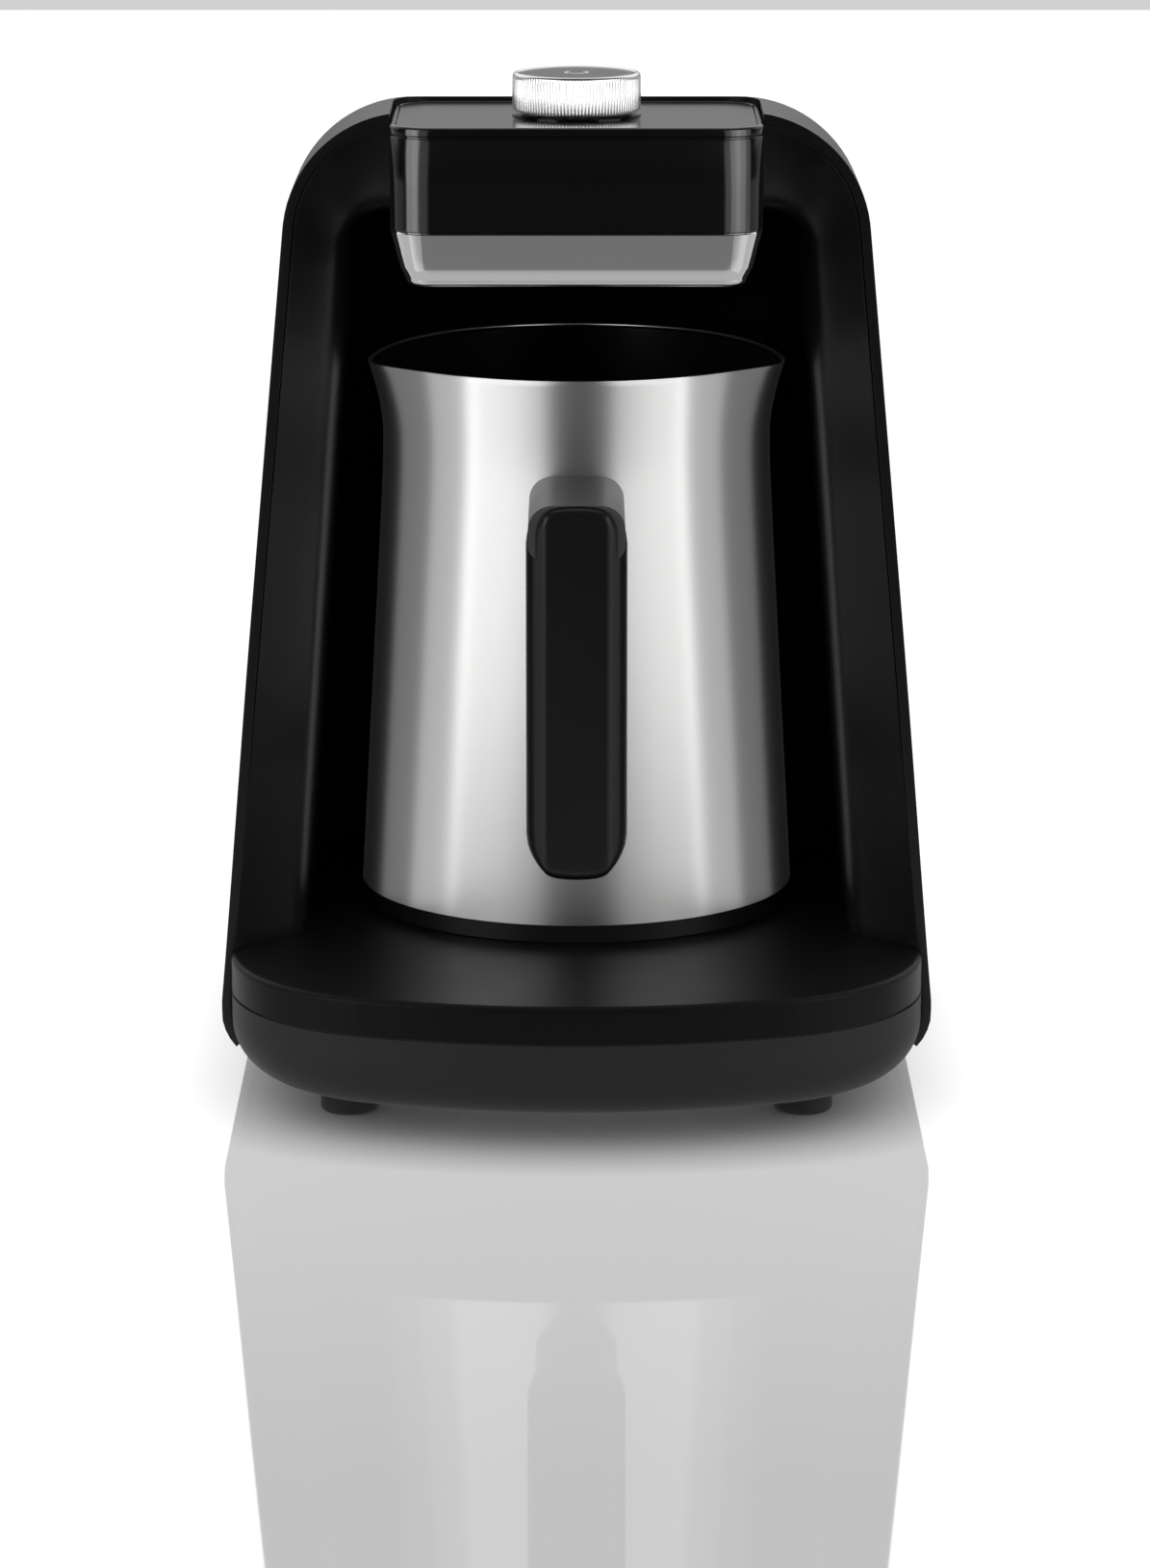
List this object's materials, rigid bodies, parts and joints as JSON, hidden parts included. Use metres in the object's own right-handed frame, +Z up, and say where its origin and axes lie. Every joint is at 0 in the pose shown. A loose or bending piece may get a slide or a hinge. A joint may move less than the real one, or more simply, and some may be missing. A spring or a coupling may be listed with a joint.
{
  "type": "electric turkish coffee maker",
  "caption": "Electric turkish coffee maker: splayed black casing with an open bay, an overhanging head with a turn-and-press knob, and a two-spouted steel pot with its own heater.",
  "frame": {"origin": "middle of the outer box, on the surface that the feet stand on", "axes": "-Y to the front, where the pot is pulled out; +X to the right seen from the front; +Z up"},
  "size_m": [0.183, 0.21, 0.2631],
  "materials": {
    "casing_black": "satin black moulding",
    "base_grey": "matte dark grey moulding",
    "gloss_black": "polished black",
    "rubber_black": "matte",
    "bright_chrome": "bright plated plastic",
    "satin_silver": "satin plated plastic",
    "pot_steel": "brushed round the pot outside, dark non-stick coating inside",
    "bracket_grey": "satin mid grey",
    "heater_aluminium": "cast",
    "bracket_steel": "pressed sheet",
    "screw_steel": "zinc plated",
    "contact_brass": "bright",
    "circuit_board": "green lacquered board",
    "board_parts": "black component bodies",
    "transformer_core": "varnished laminations",
    "electrical_plastic": "pale heat-resistant plastic",
    "light_pipe": "clear white"
  },
  "bodies": {
    "housing": {"outer_shell": "casing_black", "front_frame": "casing_black", "base_upper": "casing_black", "base_lower": "base_grey", "rubber_feet": "rubber_black", "cord_gland": "rubber_black", "gland_nut": "electrical_plastic", "shell_screws": "screw_steel", "base_screws": "screw_steel", "frame_screws": "screw_steel", "head_body": "gloss_black", "top_bezel": "gloss_black", "control_panel": "gloss_black", "chrome_band": "bright_chrome", "head_underside": "casing_black", "sensor_housing": "casing_black", "sensor_window": "gloss_black", "boil_sensor": "board_parts", "sensor_board": "circuit_board", "control_board": "circuit_board", "control_screws": "screw_steel", "underside_screws": "screw_steel", "encoder_body": "board_parts", "knob_trim_ring": "bright_chrome", "status_lights": "light_pipe", "buzzer": "board_parts", "ribbon_cable": "electrical_plastic", "head_bracket": "bracket_steel", "head_screws": "screw_steel", "power_board": "circuit_board", "transformer": "transformer_core", "relay": "board_parts", "filter_capacitor": "electrical_plastic", "fuse": "screw_steel", "terminal_block": "electrical_plastic", "board_screws": "screw_steel", "dock_block": "casing_black", "contact_pins": "contact_brass", "dock_leads": "contact_brass"},
    "knob_carrier": {"encoder_plunger": "board_parts"},
    "knob": {"knob_shaft": "screw_steel", "knob_ring": "satin_silver", "knob_cap": "gloss_black"},
    "pot": {"pot_vessel": "pot_steel", "pot_base_ring": "casing_black", "pot_base_cover": "casing_black", "pot_base_screws": "screw_steel", "heating_plate": "heater_aluminium", "heating_element": "heater_aluminium", "thermostat": "board_parts", "thermal_fuse": "board_parts", "temperature_sensor": "contact_brass", "pot_connector": "electrical_plastic", "connector_sleeves": "contact_brass", "handle_upper_bracket": "bracket_grey", "handle_lower_bracket": "bracket_grey", "handle_grip": "casing_black", "handle_inlay": "gloss_black", "handle_screws": "screw_steel"}
  },
  "joints": [
    {"name": "pot_pull", "type": "slide", "parent": "housing", "child": "pot", "axis": [0, -1, 0], "range_m": [0, 0.2]},
    {"name": "knob_press", "type": "slide", "parent": "housing", "child": "knob_carrier", "axis": [0, 0, -1], "range_m": [0, 0.0004], "stiffness_N_per_m": 2000, "springref_m": -0.0006},
    {"name": "knob_turn", "type": "hinge", "parent": "knob_carrier", "child": "knob", "pos_m": [0, -0.0385, 0.2535], "axis": [0, 0, 1], "continuous": true}
  ]
}
